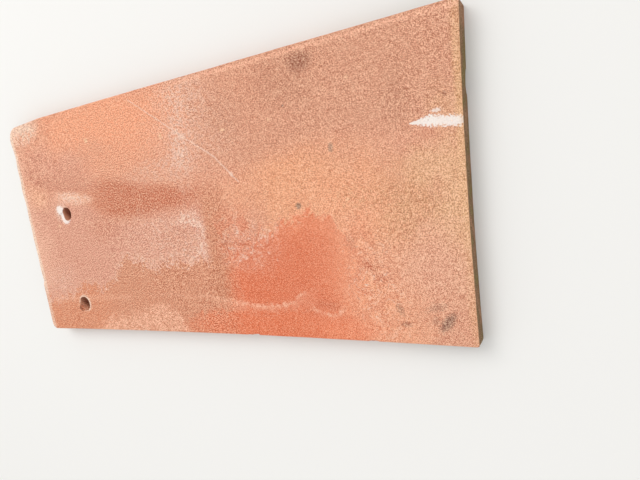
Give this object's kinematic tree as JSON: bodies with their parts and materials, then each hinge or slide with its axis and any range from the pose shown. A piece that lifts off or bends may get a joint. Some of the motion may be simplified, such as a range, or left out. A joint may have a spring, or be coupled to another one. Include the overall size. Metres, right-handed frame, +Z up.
{
  "type": "clay roof tile",
  "caption": "Flat clay roof tile without nibs, fired sandy orange-pink, with peg holes through it near the head, weathered and stained towards the tail.",
  "frame": {"origin": "centre of the underside, on the surface the tile lies on", "axes": "+X along the tile from head to tail, +Y across it, +Z up out of the weather face"},
  "size_m": [0.3799, 0.1799, 0.013],
  "materials": {
    "fired_clay": "matt sand-faced, weathered"
  },
  "bodies": {
    "root": {"roof_tile": "fired_clay"}
  },
  "joints": []
}
